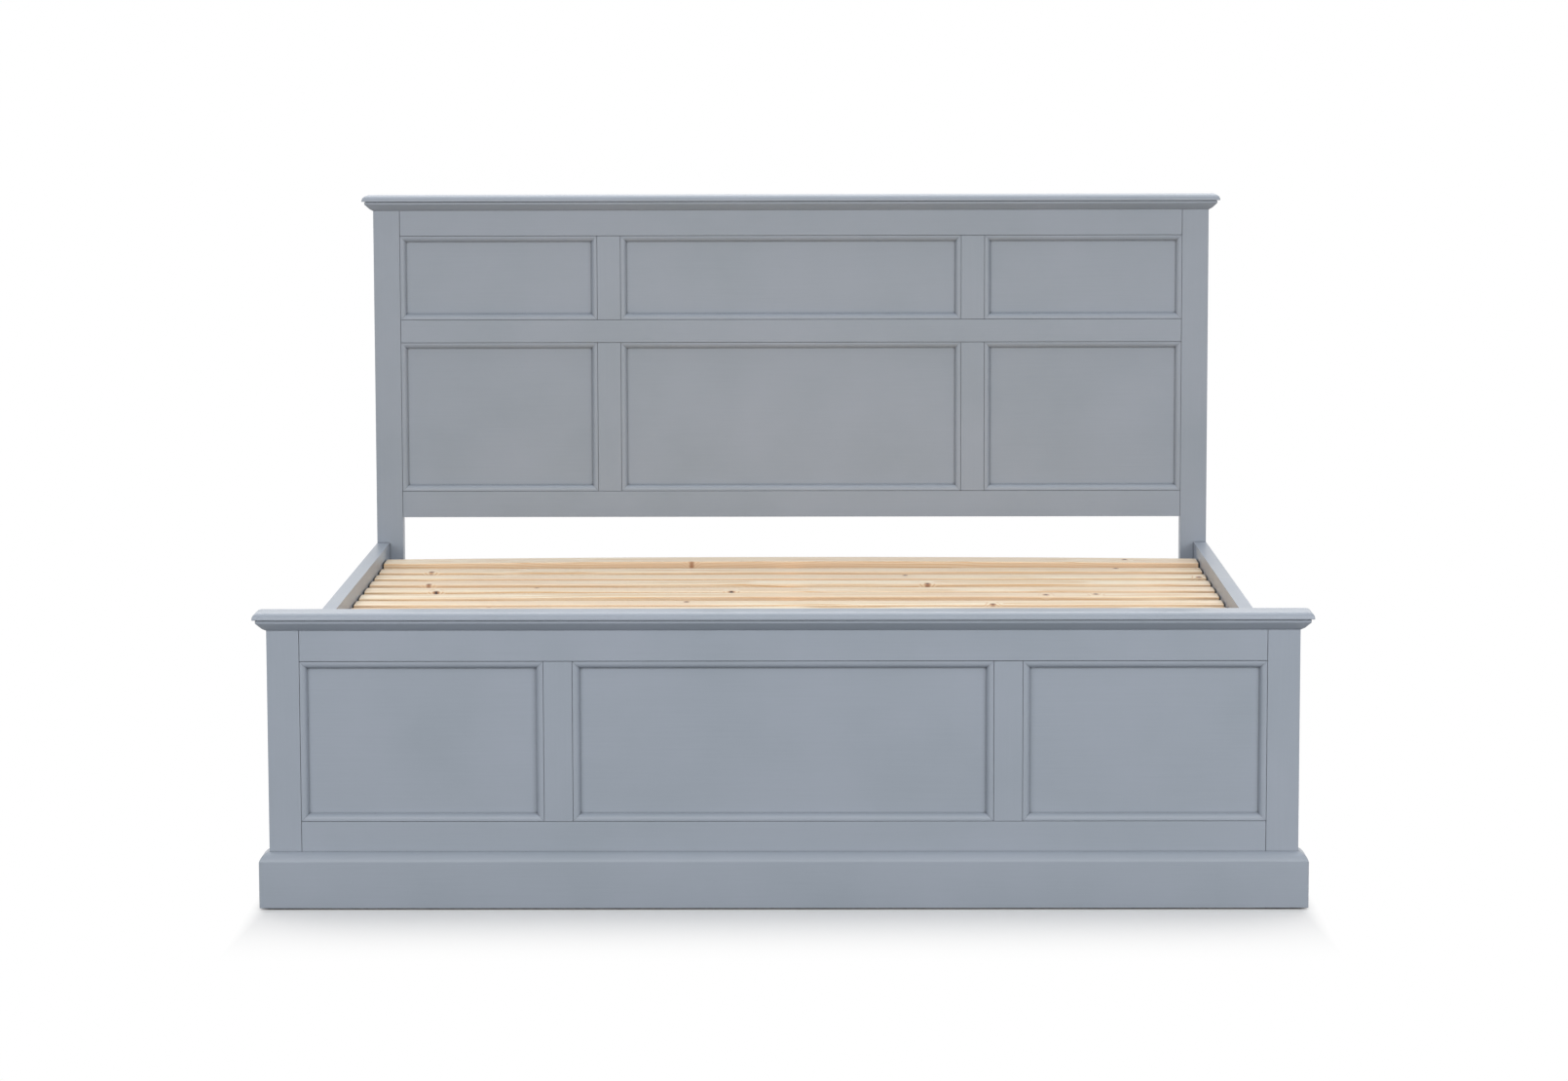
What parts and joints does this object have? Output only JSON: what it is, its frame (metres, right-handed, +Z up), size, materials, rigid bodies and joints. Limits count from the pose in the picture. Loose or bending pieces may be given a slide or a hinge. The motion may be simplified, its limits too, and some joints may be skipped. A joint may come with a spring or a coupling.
{
  "type": "bed frame",
  "caption": "Painted panelled bed frame with capped headboard and footboard, side rails, centre support on levelling feet and a lift-out deck of pine slats.",
  "frame": {"origin": "on the floor, in the middle of the overall width and length", "axes": "+X to the right as seen from the foot end, +Y towards the headboard, +Z up"},
  "size_m": [1.978, 2.164, 1.25],
  "materials": {
    "painted_wood": "satin paint",
    "pine": "planed, unfinished",
    "zinc_steel": "zinc plated",
    "nylon": "moulded",
    "webbing": "woven polyester"
  },
  "bodies": {
    "frame": {"head_post_left": "painted_wood", "head_post_right": "painted_wood", "head_top_rail": "painted_wood", "head_mid_rail": "painted_wood", "head_bottom_rail": "painted_wood", "head_upper_muntins": "painted_wood", "head_lower_muntins": "painted_wood", "head_upper_panels": "painted_wood", "head_lower_panels": "painted_wood", "head_upper_beads": "painted_wood", "head_lower_beads": "painted_wood", "head_cap_board": "painted_wood", "head_cornice": "painted_wood", "foot_post_left": "painted_wood", "foot_post_right": "painted_wood", "foot_top_rail": "painted_wood", "foot_bottom_rail": "painted_wood", "foot_muntins": "painted_wood", "foot_panels": "painted_wood", "foot_beads": "painted_wood", "foot_cap_board": "painted_wood", "foot_cornice": "painted_wood", "foot_plinth": "painted_wood", "side_rail_left": "painted_wood", "side_rail_right": "painted_wood", "side_ledges": "painted_wood", "head_cross_rail": "painted_wood", "foot_cross_rail": "painted_wood", "centre_rail": "pine", "centre_rail_hangers": "zinc_steel", "centre_legs": "pine", "leg_bolts": "zinc_steel", "corner_brackets": "zinc_steel", "bracket_bolts": "zinc_steel", "threaded_inserts": "zinc_steel", "wood_screws": "zinc_steel", "floor_glides": "nylon"},
    "slat_deck": {"slat_01": "pine", "slat_02": "pine", "slat_03": "pine", "slat_04": "pine", "slat_05": "pine", "slat_06": "pine", "slat_07": "pine", "slat_08": "pine", "slat_09": "pine", "slat_10": "pine", "slat_11": "pine", "slat_12": "pine", "slat_13": "pine", "slat_14": "pine", "slat_15": "pine", "slat_16": "pine", "slat_17": "pine", "slat_straps": "webbing"},
    "levelling_pad_front": {"levelling_pad_front": "nylon"},
    "levelling_stem_front": {"levelling_stem_front": "zinc_steel"},
    "levelling_pad_rear": {"levelling_pad_rear": "nylon"},
    "levelling_stem_rear": {"levelling_stem_rear": "zinc_steel"}
  },
  "joints": [
    {"name": "slat_deck_lift", "type": "slide", "parent": "frame", "child": "slat_deck", "axis": [0, 0, 1], "range_m": [0, 0.3]},
    {"name": "levelling_pad_front_slide", "type": "slide", "parent": "frame", "child": "levelling_pad_front", "axis": [0, 0, -1], "range_m": [-0.01, 0.015]},
    {"name": "levelling_stem_front_turn", "type": "hinge", "parent": "levelling_pad_front", "child": "levelling_stem_front", "pos_m": [0, -0.338, 0.04], "axis": [0, 0, -1], "range_deg": [-2885, 4325]},
    {"name": "levelling_pad_rear_slide", "type": "slide", "parent": "frame", "child": "levelling_pad_rear", "axis": [0, 0, -1], "range_m": [-0.01, 0.015]},
    {"name": "levelling_stem_rear_turn", "type": "hinge", "parent": "levelling_pad_rear", "child": "levelling_stem_rear", "pos_m": [0, 0.362, 0.04], "axis": [0, 0, -1], "range_deg": [-2885, 4325]}
  ],
  "couplings": [
    {"joint": "levelling_stem_front_turn", "follows": "levelling_pad_front_slide", "rad_per_m": 5026.5},
    {"joint": "levelling_stem_rear_turn", "follows": "levelling_pad_rear_slide", "rad_per_m": 5026.5}
  ]
}
